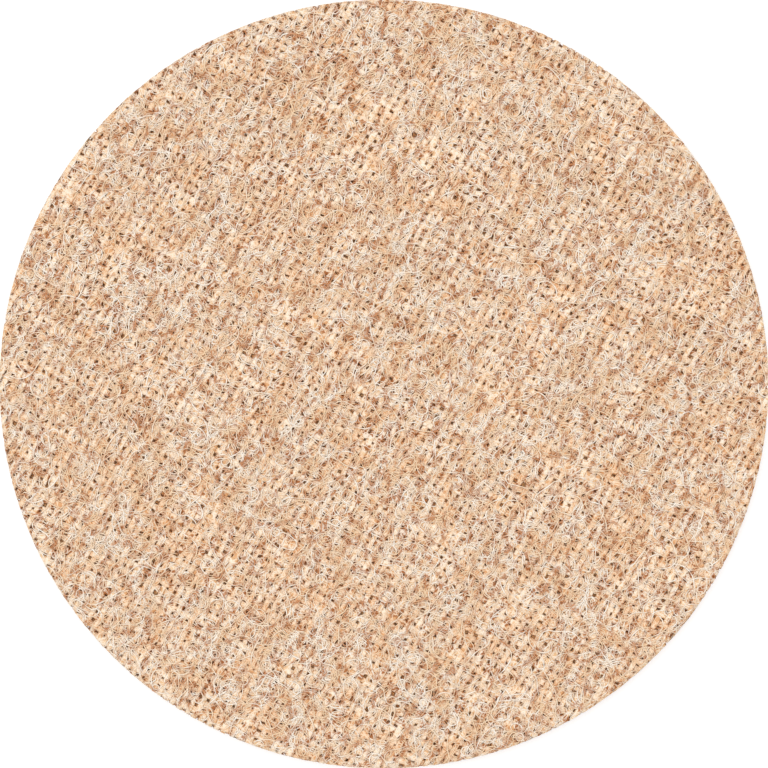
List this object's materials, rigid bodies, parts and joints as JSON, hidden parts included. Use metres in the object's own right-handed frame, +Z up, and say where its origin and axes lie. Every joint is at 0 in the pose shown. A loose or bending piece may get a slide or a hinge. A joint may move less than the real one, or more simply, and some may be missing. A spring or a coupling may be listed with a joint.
{
  "type": "surface conditioning disc",
  "caption": "Round nonwoven abrasive disc with a woven scrim and needled loops on one face, for a hook pad on a power tool.",
  "frame": {"origin": "centre of the flat working face, on which the disc lies", "axes": "+Z runs up through the disc along its axis of rotation, from the working face to the loop face"},
  "size_m": [0.125, 0.125, 0.005],
  "materials": {
    "coated_web": "matt nonwoven nylon fibre, coated with brown resin and mineral",
    "scrim_yarn": "plain-weave cream yarn stained with resin, under pale needled fibres"
  },
  "bodies": {
    "root": {"abrasive_web": "coated_web", "woven_scrim": "scrim_yarn"}
  },
  "joints": []
}
